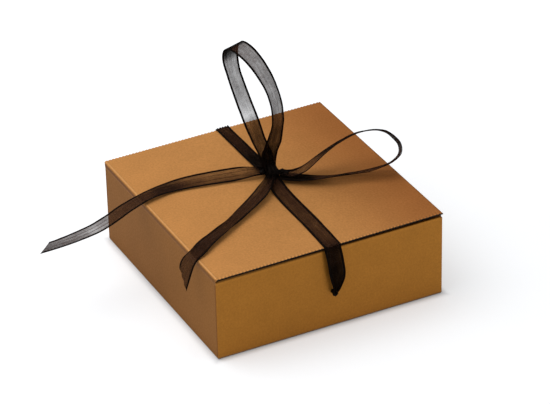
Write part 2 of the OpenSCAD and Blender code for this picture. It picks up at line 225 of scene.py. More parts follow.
def liner_finish(name, tone, flutes=0, skin=None, wall_tone=None, shaded_end_tone=None, drift=(0, 0, 105),
                 crease=False, rough=0.4, glint=0.3):
    """Metallic paper liner with a fine mottled grain, over flutes that show through as a faint washboard.
    flutes is the axis along which the flutes follow each other. skin is the (axis, sign) on which the liner
    lies: every other face of the board is raw kraft. wall_tone is for the hinge fold, whose UV map runs along
    the fold and across it: it is the tone below the crease. Over the crease the fold gets a dark line of
    painted shade, deeper towards its far end, and a pale line of painted highlight along its top edge. The
    end tone is a darker tone that the liner drifts to along drift, an axis with its two ends: painted shade.
    crease is for a
    side wall: its top is darkened by a painted shadow under the lid's edge, which rises towards the front,
    with a painted highlight as a pale line below it."""
    f = Finish(name)
    metallic = 0.5
    place = f.place()
    grain = f.noise(place, GRAIN, 4, 0.65)
    wave = f.ripple(f.axis(place, flutes), FLUTE_PITCH)
    tint = f.between(grain, 0.3, 0.7, 0.88, 1.1)
    tint = f.times(tint, f.between(f.noise(place, MOTTLE, 2), 0.3, 0.7, 0.965, 1.035))
    tint = f.times(tint, f.between(f.noise(place, CLOUD, 1), 0.3, 0.7, 0.98, 1.02))
    tint = f.times(tint, f.between(wave, -1, 1, 0.994, 1.005))
    # Painted shade: the tone darkens along drift, as the light falls off
    if shaded_end_tone:
        way = f.between(f.axis(place, drift[0]), drift[1] * MM, drift[2] * MM, smooth=True)
        tone = f.mix(way, tone, shaded_end_tone)
    # Painted shadow under the lid's edge on the side wall's top, rising towards the front, and a painted
    # highlight line below it
    if crease:
        line = f.math("MULTIPLY_ADD", f.axis(place, 0), -WALL_SHADE_RISE, f.axis(place, 2))
        pressed = f.between(line, WALL_SHADE_LOW * MM, WALL_SHADE_TOP * MM, 1.0, 0.3, smooth=True)
        tint = f.times(tint, pressed)
        off = f.off(line, WALL_HIGHLIGHT * MM)
        tint = f.times(tint, f.between(off, 0.3 * MM, 1.3 * MM, 1.07, 1.0, smooth=True))
    if wall_tone:
        uv = f.place("UV")
        across = f.math("DIVIDE", f.axis(uv, 1), MM)
        # Painted shade over the hinge crease, deeper towards the far end, and a painted highlight along the
        # fold's top edge
        depth = f.between(f.axis(uv, 0), 0.0, BOX_WID * MM, 0.3, 0.85)
        tone = f.mix(f.between(across, 4.1, 5.8, smooth=True), wall_tone, tone)
        groove_shade = f.between(f.off(across, FOLD_SHADE_AT), 0.5, 2.1, depth, 0.0, smooth=True)
        lip_highlight = f.between(f.off(across, FOLD_HIGHLIGHT_AT), 0.2, 0.9, 0.34, 0.0, smooth=True)
        tone = f.mix(groove_shade, tone, GROOVE_SHADE)
        tone = f.mix(lip_highlight, tone, LIP_HIGHLIGHT)
    colour = f.shaded(tone, tint)
    gloss = f.between(grain, 0.3, 0.7, rough + 0.07, rough - 0.05)
    shine = metallic
    height = f.math("MULTIPLY_ADD", wave, 0.1, grain)
    if skin is not None:
        facing = f.times(f.axis(f.place("Normal"), skin[0]), float(skin[1]))
        on_skin = f.between(facing, 0.55, 0.65)
        fibre = f.noise(place, 900, 3, 0.7)
        kraft = f.shaded(RAW_KRAFT, f.between(fibre, 0.3, 0.7, 0.75, 1.2))
        colour = f.mix(on_skin, kraft, colour)
        gloss = f.between(on_skin, 0, 1, 0.9, gloss)
        shine = f.between(on_skin, 0, 1, 0.0, metallic)
    f.surface(Base_Color=colour, Metallic=shine, Roughness=gloss, Specular_Tint=GLEAM,
              Specular_IOR_Level=glint, Normal=f.bump(height, 0.02))
    return f.material


def kraft_finish(name, tone, flutes=None):
    """Plain kraft paper: short fibres, and faint lines along the flutes behind it, paler over each crest and
    darker between.
    """
    f = Finish(name)
    place = f.place()
    fibre = f.noise(f.stretched(place, (1, 3, 1)), 520, 4, 0.7)
    tint = f.between(fibre, 0.25, 0.75, 0.82, 1.16)
    tint = f.times(tint, f.between(f.noise(place, 1500, 2, 0.6), 0.3, 0.7, 0.93, 1.06))
    tint = f.times(tint, f.between(f.noise(place, 30, 2), 0.3, 0.7, 0.96, 1.04))
    height = fibre
    if flutes is not None:
        wave = f.ripple(f.axis(place, flutes), FLUTE_PITCH)
        tint = f.times(tint, f.between(wave, -1, 1, 0.95, 1.03))
        height = f.math("MULTIPLY_ADD", wave, 0.6, fibre)
    f.surface(Base_Color=f.shaded(tone, tint), Roughness=f.between(fibre, 0.3, 0.7, 0.95, 0.8),
              Specular_IOR_Level=0.25, Normal=f.bump(height, 0.03))
    return f.material


def organza_finish(name, creases=()):
    """Sheer woven ribbon. The UV map is in metres: across the ribbon, then along it. The attribute plies is
    the number of layers of cloth that lie on each other. creases are sharp lengthwise folds, each given by
    its place across the ribbon and its width, in millimetres."""
    f = Finish(name)
    uv = f.place("UV")
    u, v = f.axis(uv, 0), f.axis(uv, 1)
    plies = f.node("Attribute", {}, 2, attribute_name="plies")
    warp = f.between(f.ripple(u, THREAD_PITCH), -0.4, 0.9)
    weft = f.between(f.ripple(v, THREAD_PITCH), -0.4, 0.9)
    weave = f.math("MAXIMUM", warp, weft)
    grain = f.noise(uv, 600, 3, 0.6)
    streak = f.noise(f.stretched(uv, (1, 0.03, 1)), 520, 3, 0.6)
    cover = f.math("MULTIPLY_ADD", f.minus(weave, 0.62), 0.2, SHEER_COVER)
    cover = f.math("ADD", cover, f.between(grain, 0.3, 0.7, -0.05, 0.05))
    cover = f.math("ADD", cover, f.between(streak, 0.3, 0.75, -0.05, 0.09))
    smudge = f.noise(f.stretched(uv, (1, 0.5, 1)), 150, 2, 0.6)
    layers = f.times(plies, f.between(smudge, 0.32, 0.68, 0.86, 1.22))
    light = f.math("POWER", f.minus(1.0, cover), layers)
    sway = f.noise(f.stretched(uv, (0, 1, 1)), 40, 1)
    for middle, width in creases:
        line = f.math("MULTIPLY_ADD", sway, 3.2 * MM, (middle - 1.6) * MM)
        shut = f.between(f.off(u, line), 0.25 * width * MM, width * MM, 0.55, 1.0, smooth=True)
        light = f.times(light, shut)
    rim = (RIBBON_WID / 2 - SELVEDGE) * MM
    bound = f.between(f.off(u, RIBBON_WID * MM / 2), rim - 0.1 * MM, rim + 0.05 * MM, smooth=True)
    light = f.times(light, f.between(bound, 0, 1, 1.0, 0.01))
    dark = f.math("MAXIMUM", bound, f.between(plies, 1.1, 2.0))
    f.surface(Base_Color=f.mix(dark, SHEER_TONE, DENSE_TONE), Roughness=0.8, Specular_IOR_Level=0.02,
              Alpha=f.minus(1.0, light), Normal=f.bump(weave, 0.01))
    return f.material


def dense_ribbon_finish(name):
    """The same cloth bunched so tightly that no light comes through."""
    f = Finish(name)
    place = f.place()
    fold = f.noise(f.stretched(place, (1, 1, 2.5)), 420, 4, 0.6)
    grain = f.noise(place, 1800, 2)
    # The tone follows the folds of the bump, darker down in them and paler on their tops: painted shade.
    colour = f.mix(f.between(fold, 0.35, 0.65), rgb(5, 3, 2), rgb(18, 11, 7))
    height = f.math("MULTIPLY_ADD", grain, 0.2, fold)
    f.surface(Base_Color=colour, Roughness=0.6, Specular_IOR_Level=0.05, Normal=f.bump(height, 0.25))
    return f.material


def make_finishes():
    # The lid, the side walls, the back wall and the front wall wear one liner, painted in separate tones as
    # lit and shaded copies for how the light falls on each face: copper on the lid, bronze on the side walls,
    # umber on the back wall. copper_fold is copper painted a little darker where the hinge fold turns to the
    # light.
    copper, bronze, umber = rgb(193, 136, 77), rgb(165, 109, 41), rgb(134, 90, 45)
    copper_shaded_end, copper_fold, umber_shaded_end = rgb(168, 106, 55), rgb(187, 131, 73), rgb(124, 82, 41)
    return {
        "lid": liner_finish("copper_liner", copper, shaded_end_tone=copper_shaded_end, rough=0.6),
        "fold": liner_finish("copper_fold", copper_fold, wall_tone=umber, rough=0.5),
        "back": liner_finish("back_wall_liner", umber, flutes=2, skin=(0, -1), shaded_end_tone=umber_shaded_end,
                             drift=(1, -100, 60), glint=0.1),
        "front": liner_finish("front_wall_liner", rgb(150, 103, 56), flutes=2, skin=(0, 1)),
        # The side walls and roll-overs get the painted shadow under the lid's edge and the painted highlight
        # below it
        "near": liner_finish("near_wall_liner", bronze, skin=(1, -1), crease=True),
        "far": liner_finish("far_wall_liner", bronze, skin=(1, 1), crease=True),
        "roll": liner_finish("roll_over_liner", bronze, crease=True),
        "inner": liner_finish("inner_wall_liner", bronze),
        "kraft": kraft_finish("kraft_board", rgb(150, 112, 74), flutes=0),
        "cut": kraft_finish("cut_board", rgb(150, 120, 86)),
        # The flute medium is kraft paper, but its tone is near-black: painted shade for the hollows between
        # the flutes and the insides of the board.
        "medium": kraft_finish("flute_medium_painted_shade", rgb(28, 16, 8)),
        "organza": organza_finish("black_organza"),
        "creased": organza_finish("creased_organza", creases=((5.2, 0.5), (9.4, 0.4))),
        "bunched": dense_ribbon_finish("bunched_ribbon"),
    }


# ---------------------------------------------------------------- making pieces

# Faces that meet at more than this angle, in degrees, keep a sharp edge
SHARP_ANGLE = 50


def link(name, bm, materials):
    """Makes a piece of the mesh, smooth but for its sharp edges."""
    mesh = bpy.data.meshes.new(name)
    bm.to_mesh(mesh)
    bm.free()
    for material in materials:
        mesh.materials.append(material)
    mesh.shade_smooth()
    mesh.set_sharp_from_angle(angle=math.radians(SHARP_ANGLE))
    piece = bpy.data.objects.new(name, mesh)
    bpy.context.scene.collection.objects.link(piece)
    return piece


def grid(bm, across, along, put):
    """Adds a grid of across by along cells and puts each point where put(a, b) says, with a and b from 0 to
    1. Gives the (a, b) of each point."""
    made = bmesh.ops.create_grid(bm, x_segments=across, y_segments=along, size=1)["verts"]
    where = {v: ((v.co.x + 1) / 2, (v.co.y + 1) / 2) for v in made}
    for v, (a, b) in where.items():
        v.co = put(a, b)
    return where


# ---------------------------------------------------------------- board

def sprung(point):
    """A point of the lid, turned up about the hinge by the spring of the crease."""
    hinge = Vector((-HALF_LEN, 0, HINGE_Z))
    return hinge + Matrix.Rotation(math.radians(-LID_SPRING), 3, "Y") @ (Vector(point) - hinge)


def paper(bm, across, along, put, thick, outward, skin, inside, rim):
    """One paper of the board: a grid with its thickness added away from outward. Faces turned along
    outward(point) get the material skin, those turned the other way get inside, and the cut edges get rim."""
    faces = {f for v in grid(bm, across, along, put) for f in v.link_faces}
    probe = next(iter(faces))
    bmesh.ops.recalc_face_normals(bm, faces=list(faces))
    for f in faces:
        f.normal_update()
    flip = probe.normal.dot(outward(probe.calc_center_median())) < 0
    if flip:
        bmesh.ops.reverse_faces(bm, faces=list(faces))
    before = set(bm.faces)
    bmesh.ops.solidify(bm, geom=list(faces), thickness=thick * MM)
    shell = faces | (set(bm.faces) - before)
    for f in shell:
        f.normal_update()
        turned = f.normal.dot(outward(f.calc_center_median()))
        f.material_index = skin if turned > 0.5 else inside if turned < -0.5 else rim
    return shell


def flute(x):
    """Height of the flutes' wave at x, from -1 to 1"""
    return math.sin(math.tau * x / FLUTE_PITCH)


def crests_only(faces, least):
    """Leaves cut paper pale where the flutes' wave is over least. The rest gets the near-black slot, painted
    shade for the hollows between the flutes.
    """
    for f in faces:
        if f.material_index == CUT and flute(f.calc_center_median().x / MM) < least:
            f.material_index = CORE_SHADE


def board_finishes(finish):
    """Materials for the slots SKIN, INSIDE, CUT and CORE_SHADE"""
    return [finish["lid"], finish["kraft"], finish["cut"], finish["medium"]]


def lid_skin(s):
    """Profile of the top of the lid, s millimetres along it from the hinge line: up round the fold, over the
    top and down round the nose. Gives (x, z)."""
    left, right = -HALF_LEN + BOARD, HALF_LEN + LID_NOSE - BOARD
    if s < LID_TURN:
        turn = s / BOARD
        return left - BOARD * math.cos(turn), HINGE_Z + BOARD * math.sin(turn)
    if s < LID_TURN + LID_FLAT:
        return left + s - LID_TURN, HINGE_Z + BOARD
    turn = (s - LID_TURN - LID_FLAT) / BOARD
    return right + BOARD * math.sin(turn), HINGE_Z + BOARD * math.cos(turn)


def make_lid(finish):
    """The lid: top liner, fluted medium and bottom liner, open at its two cut side edges."""
    bm = bmesh.new()
    length = 2 * LID_TURN + LID_FLAT

    def across_at(b):
        """y at a share b of the lid's width, with rows set close together beside the two cut edges"""
        near = min(b, 1 - b) * 2
        inset = LID_EDGE * (near ** 3 if near < 0.79 else 1 - (1 - near) * 2.4)
        return (LID_EDGE - min(inset, LID_EDGE)) * (-1 if b < 0.5 else 1)

    def top(a, b):
        s = a * length
        x, z = lid_skin(s)
        y = across_at(b)
        pressed = math.exp(-(LID_EDGE - abs(y)) / PRESS_REACH)
        wave = LINER_WAVE + CUT_WAVE * pressed
        dip = wave * flute(x) - PRESS_DEPTH * pressed if LID_TURN < s < length - LID_TURN else 0
        return sprung((x, y, z + dip)) * MM

    def up(point):
        """Out from the middle of the board, so that the turns at both ends count as top"""
        x = min(max(point.x / MM, -HALF_LEN + BOARD), HALF_LEN + LID_NOSE - BOARD)
        middle = HINGE_Z + (x + HALF_LEN) * LID_SLOPE - 0.2
        return (point / MM - Vector((x, point.y / MM, middle))).normalized()

    def medium(a, b):
        x = -HALF_LEN + 1.0 + a * (BOX_LEN + LID_NOSE - 2.0)
        near_end = min(1, 0.35 + min(x + HALF_LEN, HALF_LEN + LID_NOSE - x) / 3)
        z = HINGE_Z + BOARD / 2 + MEDIUM_THK / 2 + FLUTE_DEPTH * near_end * flute(x)
        return sprung((x, (2 * b - 1) * (LID_EDGE - 0.15), z)) * MM

    def bottom(a, b):
        x = -HALF_LEN + 0.4 + a * (BOX_LEN + LID_NOSE - 0.8)
        return sprung((x, (2 * b - 1) * LID_EDGE, HINGE_Z)) * MM

    steps = round(BOX_LEN / FLUTE_PITCH) * STEPS_PER_FLUTE
    crest = Vector((0, 0, 1))
    crests_only(paper(bm, steps, 20, top, LINER_THK, up, SKIN, CORE_SHADE, CUT), least=-0.1)
    crests_only(paper(bm, steps, 6, medium, MEDIUM_THK, lambda p: crest, CORE_SHADE, CORE_SHADE, CUT), least=0.3)
    paper(bm, 60, 6, bottom, LINER_THK, lambda p: -crest, INSIDE, CORE_SHADE, CORE_SHADE)
    piece = link("lid_board", bm, board_finishes(finish))
    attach(piece, "lid")
    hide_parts("lid_panel")


def tuck_place(depth, y, out):
    """A point of the tuck flap: depth below its crease, y along the crease, out from its middle."""
    turn = Matrix.Rotation(math.radians(TUCK_LEAN), 3, "Y")
    return sprung(Vector((TUCK_X, 0, TUCK_Z)) + turn @ Vector((out, y, -depth)))


def make_tuck_flap(finish):
    """The tuck flap, of the same board, with its two free corners rounded."""
    bm = bmesh.new()
    outward = Matrix.Rotation(math.radians(TUCK_LEAN - LID_SPRING), 3, "Y") @ Vector((1, 0, 0))

    def half_width(depth):
        into = max(0, depth - (TUCK_DEPTH - TUCK_CORNER_R))
        return TUCK_WID / 2 - TUCK_CORNER_R + math.sqrt(max(0, TUCK_CORNER_R ** 2 - into ** 2))

    def layer(start, out, inset=0.0):
        """One paper of the flap, from start below the crease, at out(depth) from the middle of the board"""
        def put(a, b):
            depth = start + a * (TUCK_DEPTH - inset - start)
            return tuck_place(depth, (2 * b - 1) * (half_width(depth) - inset), out(depth)) * MM
        return put

    steps = round(TUCK_DEPTH / FLUTE_PITCH * STEPS_PER_FLUTE)
    face, back = layer(0, lambda d: BOARD / 2), layer(0, lambda d: -BOARD / 2)
    fluted = layer(0.3, lambda d: MEDIUM_THK / 2 + FLUTE_DEPTH * flute(d), 0.15)
    paper(bm, steps, 24, face, LINER_THK, lambda p: outward, SKIN, CORE_SHADE, CUT)
    paper(bm, steps, 24, fluted, MEDIUM_THK, lambda p: outward, CORE_SHADE, CORE_SHADE, CORE_SHADE)
    paper(bm, steps, 24, back, LINER_THK, lambda p: -outward, INSIDE, CORE_SHADE, CUT)
    piece = link("tuck_board", bm, board_finishes(finish))
    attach(piece, "tuck_flap")
    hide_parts("tuck_flap")


def fold_strip(name, profile, half_width, skin, edge, outward):
    """A strip of liner that follows a profile of (x, z) points across a fold, as long as the fold. Its UV map
    runs along the fold and, from the profile's first point, across it."""
    bm = bmesh.new()
    last = len(profile) - 1
    reach = [0.0]
    for (x, z), (next_x, next_z) in zip(profile, profile[1:]):
        reach.append(reach[-1] + math.hypot(next_x - x, next_z - z))

    def put(a, b):
        i = round(a * last)
        return Vector((profile[i][0], (2 * b - 1) * half_width, profile[i][1])) * MM

    def across(point):
        spots = [math.hypot(point.x / MM - x, point.z / MM - z) for x, z in profile]
        return reach[spots.index(min(spots))]

    paper(bm, last, 40, put, LINER_THK, outward, 0, 1, 1)
    uv = bm.loops.layers.uv.new("UVMap")
    for f in bm.faces:
        for loop in f.loops:
            loop[uv].uv = (loop.vert.co.y + half_width * MM, across(loop.vert.co) * MM)
    return link(name, bm, [skin, edge])


def make_hinge_fold(finish):
    """The scored fold between the back wall and the lid. The liner stands a little off the wall, where the
    flutes are crushed, and turns over the fold onto the lid."""
    profile = smoothed([
        (-100.04, 68.4), (-100.12, 69.2), (-100.2, 70.1), (-100.26, 71.0), (-100.28, 71.8), (-100.24, 72.6),
        (-100.14, 73.2), (-99.88, 73.68), (-99.4, 74.0), (-98.8, 74.1), (-98.1, 74.06), (-97.3, 73.86),
    ], PROFILE_STEPS)
    centre = Vector((-97.5, 0, 71.5))

    def outward(point):
        p = Vector((point.x, 0, point.z)) / MM - centre
        return Vector((-1, 0, 0)) if p.z < -0.5 else p.normalized()

    piece = fold_strip("hinge_fold", profile, HALF_WID, finish["fold"], finish["lid"], outward)
    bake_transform(piece)


def make_tuck_fold(finish):
    """The fold between the nose of the lid and the tuck flap."""
    profile = smoothed([
        (96.6, 76.07), (98.4, 76.09), (99.4, 75.82), (100.1, 75.17), (100.32, 74.47), (100.0, 73.97),
        (99.3, 73.77), (98.6, 73.52), (98.15, 72.97), (97.95, 72.27), (97.85, 71.37), (97.72, 70.27),
    ], PROFILE_STEPS)
    centre = Vector((98.2, 0, 73.67))

    def outward(point):
        p = Vector((point.x, 0, point.z)) / MM
        if p.z > centre.z + 1:
            return (p - centre).normalized()
        return Vector((1, 0, -0.4)).normalized()

    piece = fold_strip("tuck_fold", profile, TUCK_WID / 2, finish["lid"], finish["cut"], outward)
    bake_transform(piece)


def dress_board(finish):
    """Finishes for the board panels that keep their own solids."""
    worn = {
        "bottom_panel": "kraft", "back_wall": "back", "front_wall": "front",
        "outer_side_wall_near": "near", "outer_side_wall_far": "far",
        "roll_over_near": "roll", "roll_over_far": "roll",
        "inner_side_wall_near": "inner", "inner_side_wall_far": "inner",
        "back_corner_flap_near": "kraft", "back_corner_flap_far": "kraft",
        "front_corner_flap_near": "kraft", "front_corner_flap_far": "kraft",
        "stop_knot_near": "bunched", "stop_knot_far": "bunched",
    }
    for node, which in worn.items():
        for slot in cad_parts[node].material_slots:
            slot.material = finish[which]


# ---------------------------------------------------------------- ribbons

# A station of a ribbon's route is (x, y, z, heading, tilt, share): the middle of the ribbon, the direction of
# its width in plan and how far that is tilted up, in degrees, and how much of its full width shows there.

def blend_at(a, b, c, d, t):
    """A point of a smooth curve through a, b, c and d, at a share t of the way from b to c"""
    return [0.5 * (2 * q + (r - p) * t + (2 * p - 5 * q + 4 * r - s) * t * t
                   + (3 * q - p - 3 * r + s) * t ** 3) for p, q, r, s in zip(a, b, c, d)]


def smoothed(route, steps):
    """Smooth line through the points of a route, with steps to each stretch between two of them"""
    last = len(route) - 1
    line = [blend_at(route[max(i - 1, 0)], route[i], route[i + 1], route[min(i + 2, last)], k / steps)
            for i in range(last) for k in range(steps)]
    return line + [list(route[last])]


def lid_top(x):
    """Height of the sprung lid's top"""
    return BOX_HEIGHT + (x + HALF_LEN) * math.tan(math.radians(LID_SPRING))


def on_lid(x, y, h, heading, tilt, share):
    """A station h over the lid"""
    return (x, y, lid_top(x) + h, heading, tilt, share)


def over_lid(s, y, h, heading, tilt, share):
    """A station h over the lid, at a share s of the way from the knot to the hinge, and y from the knot"""
    return on_lid(KNOT_X - s * (KNOT_X + HALF_LEN), KNOT_Y + y, h, heading, tilt, share)


def past_edge(out, y, h, heading, tilt, share):
    """A station out beyond the hinge, h over the height of the box, and y from the knot"""
    return (-HALF_LEN - out, KNOT_Y + y, BOX_HEIGHT + h, heading, tilt, share)


def from_knot(x, y, z, heading, tilt, share):
    """A station measured from the foot of the knot"""
    return (KNOT_X + x, KNOT_Y + y, lid_top(KNOT_X) + z, heading, tilt, share)


def along_line(pairs, share):
    """The value at a share of the length, between given (share, value) pairs."""
    for (a, low), (b, high) in zip(pairs, pairs[1:]):
        if share <= b:
            return low + (high - low) * (share - a) / (b - a)
    return pairs[-1][1]


def make_ribbon(name, route, node, material, plies, slant=0, rests_on=(), pleats=3, proud=0):
    """A length of ribbon along a route of stations. Where only a share of its width shows, the rest is taken
    up in lengthwise pleats, which stand on one side of the route where proud is 1 or -1. plies gives the
    layers of cloth along it. At the cut end, slant is how far one edge runs ahead of the middle and the other
    falls back from it."""
    stations = smoothed(route, ROUTE_STEPS)
    last = len(stations) - 1
    middles = [Vector(s[:3]) for s in stations]
    run_length = [0.0]
    for p, q in zip(middles, middles[1:]):
        run_length.append(run_length[-1] + (q - p).length)
    total = run_length[-1]
    bm = bmesh.new()
    layers = bm.verts.layers.float.new("plies")

    def put(a, b):
        i = round(b * last)
        heading, tilt = math.radians(stations[i][3]), math.radians(stations[i][4])
        share = min(1.0, stations[i][5])
        level = math.cos(tilt)
        run = (middles[min(i + 1, last)] - middles[max(i - 1, 0)]).normalized()
        across = Vector((math.cos(heading) * level, math.sin(heading) * level, math.sin(tilt)))
        face = run.cross(across).normalized()
        c = 2 * a - 1
        rise = RIBBON_WID / (4 * pleats) * math.sqrt(max(0.0, 1 - share * share))
        wander = noise.noise(Vector((run_length[i] * WANDER_RATE, 3.1 + len(name), 0)))
        pleat = rise * (proud + math.sin(math.tau * (pleats * a + 0.35 * wander)))
        crimp = CRIMP * noise.noise(Vector((run_length[i] * CRIMP_RATE, a * 3.5, len(name))))
        back = slant * c * max(0.0, 1 - (total - run_length[i]) / SLANT_REACH)
        side = c * RIBBON_WID * share / 2
        return (middles[i] + across * side + face * (pleat + crimp) - run * back) * MM

    where = grid(bm, COLUMNS_PER_PLEAT * pleats, last, put)
    uv = bm.loops.layers.uv.new("UVMap")
    for v in bm.verts:
        v[layers] = along_line(plies, run_length[round(where[v][1] * last)] / total)
    for f in bm.faces:
        for loop in f.loops:
            a, b = where[loop.vert]
            loop[uv].uv = (a * RIBBON_WID * MM, run_length[round(b * last)] * MM)
    piece = link(name, bm, [material])
    wall = piece.modifiers.new("thickness", "SOLIDIFY")
    wall.thickness, wall.offset = RIBBON_THK * MM, 0
    list(rests_on)
    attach(piece, "ribbon")
    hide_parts(node)


def strap_route(side, edge_x, bow_out, share):
    """Route of a strap to the side wall at -Y or +Y, as side says: from the knot over the lid to its cut edge
    at edge_x, then down the wall, standing off it by bow_out, and into the hole."""
    run_y = side * LID_EDGE - KNOT_Y
    aside = KNOT_X - edge_x
    drop = lid_top(edge_x) - HOLE_HEIGHT
    wall_y = side * (LID_EDGE + RIDE)
    to_hole = HOLE_SHIFT - edge_x

    def lies(x, y, h, shown=share):
        return on_lid(x, y, h, 0, LID_SPRING, shown)

    def hangs(x, y, fall, shown=share):
        return (x, y, HOLE_HEIGHT + drop * fall, 0, 0, shown)

    return [
        lies(KNOT_X, KNOT_Y + side * KNOT_LEN * 0.15, KNOT_HEIGHT * 0.3, 0.6 * share),
        lies(edge_x + aside * 0.6, KNOT_Y + side * (KNOT_LEN / 2 + 3), RIDE + 1.2, 0.85 * share),
        lies(edge_x + aside * 0.3, KNOT_Y + run_y * 0.3, RIDE),
        lies(edge_x + aside * 0.2, KNOT_Y + run_y * 0.7, RIDE),
        lies(edge_x, side * (LID_EDGE - 1.5), RIDE),
        lies(edge_x, side * (LID_EDGE + 0.05), RIDE + 0.05),
        lies(edge_x, wall_y + side * 0.05, -0.1),
        lies(edge_x, wall_y + side * 0.2, -BOARD),
        hangs(edge_x + 0.4 * to_hole + bow_out * 0.5, wall_y + side * bow_out * 0.8, 0.68),
        hangs(edge_x + 0.7 * to_hole + bow_out, wall_y + side * bow_out, 0.36, 0.95 * share),
        hangs(HOLE_SHIFT + bow_out * 0.5, side * (GATHER_Y + bow_out * 0.2), 0.13, 0.5 * share),
        (HOLE_SHIFT, side * GATHER_Y, HOLE_HEIGHT + GATHER_R * 0.3, 0, 0, 0.2),
    ]


# The upright loop stands in one plane, turned by its heading. Its stations are (out, height, heading, tilt),
# with out from the knot in that plane and height from the knot's foot.
UPRIGHT_HEADING = math.radians(20)
UPRIGHT_STATIONS = [
    (-1.2, 5, 20, 0), (-4.8, 18, 22, -3), (-12.5, 29.5, 21, -1), (-19, 41.5, 13, 4), (-25.5, 54, 13, 4),
    (-32.5, 68, 15, 3), (-39, 83, 17, 4), (-42, 95.5, 4, 12), (-40.5, 105, -4, 17), (-35, 108.5, -4, 17),
    (-25.5, 106.8, 2, 13), (-14.5, 101, 12, 6), (-4, 91.5, 19, 1), (3.5, 81, 25, -3), (8, 69, 26, -2),
    (9.1, 55, 22, 0), (6.4, 43, 13, -1), (3.5, 33, 4, -4), (-1.3, 20, 5, -4), (-0.2, 7, 20, 0),
]
# The side loop's stations are measured from the knot's foot.
SIDE_STATIONS = [
    (3, -4, 6, 64, -4, 0.6), (13, -10, 4.8, 64, -4, 0.85), (24, -12, 7.4, 64, -5, 1),
    (33, -13, 12.8, 64, -8, 1), (43, -14, 19.4, 64, -16, 0.97), (54.5, -15.5, 25.6, 64, -22, 0.92),
    (66.5, -17, 29.9, 64, -26, 0.92), (75.5, -19, 31.5, 64, -29, 0.92), (85, -23, 32, 65, -31, 0.92),
    (91.5, -27.5, 30.5, 68, -33, 0.92), (96, -33, 26.4, 71, -34, 0.92), (98, -38, 21.8, 72, -32, 0.92),
    (95.5, -42, 16.2, 72, -32, 0.92), (89, -43, 12, 71, -32, 0.92), (82, -42, 9.4, 70, -30, 0.92),
    (69, -38, 6.2, 68, -24, 0.92), (57, -34, 5, 66, -26, 0.92), (45, -31.5, 5, 64, -27, 0.92),
    (32.5, -26, 4.2, 64, -20, 0.95), (19, -18, 3.2, 64, -7, 0.95), (4, -7, 3.4, 64, 0, 0.75),
]
LONG_TAIL_ROUTE = [
    over_lid(0, 2, 5.5, 100, 5, 0.5), over_lid(0.11, 8.5, 5, 96, 10, 0.85),
    over_lid(0.26, 14, 3.5, 88, 18, 1), over_lid(0.45, 18.5, 3.3, 88, 15, 1),
    over_lid(0.62, 22.5, 2.5, 90, 10, 1), over_lid(0.77, 24, 1.6, 96, 1, 1),
    over_lid(0.93, 21, 2, 102, -6, 1), past_edge(14, 15, 0.2, 104, -4, 1),
    past_edge(29, 11, -3.1, 102, -2, 1), past_edge(45, 8, -6.6, 98, -1, 1),
    past_edge(62, 6.5, -8.5, 94, -3, 1), past_edge(76, 7.5, -10.8, 90, -5, 1),
    past_edge(88.5, 10.5, -13.4, 84, -6, 1),
]
SHORT_TAIL_ROUTE = [
    over_lid(0, -2, 5.2, 125, -8, 0.5), over_lid(0.165, -20.5, 4, 123, -12, 0.92),
    over_lid(0.31, -31.8, 2.7, 122, -13, 1), over_lid(0.555, -48.8, 2.2, 122, -13, 0.86),
    over_lid(0.692, -57.3, 2.1, 122, -13, 0.93), over_lid(0.834, -65.8, 1.9, 124, -11, 1),
    over_lid(0.94, -74.2, 1.8, 124, -7, 0.95), past_edge(6, -81, -1, 120, -4, 0.9),
    past_edge(14, -86.5, -11.5, 110, 5, 0.85),
]

# Layers of cloth along each ribbon, as (share of its length, plies), from the knot to its other end. Under 1,
# the cloth is sheerer than one layer is elsewhere. In part these values paint light: the dip under 1 on the
# upright loop's first leg is a painted highlight, and the sheerer stretches of the lying loop and of the long
# tail lighten the shade on and under them.
STRAP_NEAR_PLIES = (
    (0, 3), (0.06, 1.5), (0.16, 1), (0.5, 0.9), (0.66, 1.1), (0.73, 1.5), (0.745, 1.9), (0.82, 1.8),
    (0.92, 2.4), (1, 4),
)
STRAP_FAR_PLIES = ((0, 3), (0.19, 2.2), (0.35, 1.6), (0.66, 1.3), (0.69, 2.5), (1, 4))
UPRIGHT_PLIES = (
    (0, 3), (0.05, 1.6), (0.1, 1.4), (0.15, 1.2), (0.18, 0.8), (0.205, 0.4), (0.235, 0.6), (0.27, 0.85),
    (0.4, 0.95), (0.44, 3), (0.465, 4.5), (0.49, 1.2), (0.6, 1.02), (0.745, 1.05), (0.79, 1.2), (0.83, 1.7),
    (0.88, 1.6), (0.91, 2), (1, 3),
)
SIDE_PLIES = (
    (0, 3), (0.05, 1.3), (0.1, 0.9), (0.16, 1.2), (0.2, 2), (0.3, 1.6), (0.55, 1.2), (0.62, 0.6), (0.8, 0.5),
    (0.86, 1.3), (0.9, 2.6), (0.95, 3), (1, 3.5),
)
LONG_TAIL_PLIES = (
    (0, 3), (0.06, 1.2), (0.12, 0.62), (0.25, 0.58), (0.34, 0.95), (0.4, 1.6), (0.46, 1.6), (0.51, 1.15),
    (0.58, 1.25), (0.67, 1.1), (0.75, 0.9), (0.79, 0.68), (0.83, 1), (0.89, 1.2), (1, 1.5),
)
SHORT_TAIL_PLIES = ((0, 3), (0.08, 1.5), (0.2, 1.2), (0.5, 1.2), (0.8, 1.5), (0.87, 1.15), (1, 1))


def upright_route():
    """The upright loop's route. The knot draws it in a little at both ends."""
    ends = (0, len(UPRIGHT_STATIONS) - 1)
    route = []
    for i, (out, height, heading, tilt) in enumerate(UPRIGHT_STATIONS):
        x, y = out * math.sin(UPRIGHT_HEADING), -out * math.cos(UPRIGHT_HEADING)
        route.append(from_knot(x, y, height, heading, tilt, 0.8 if i in ends else 1))
    return route


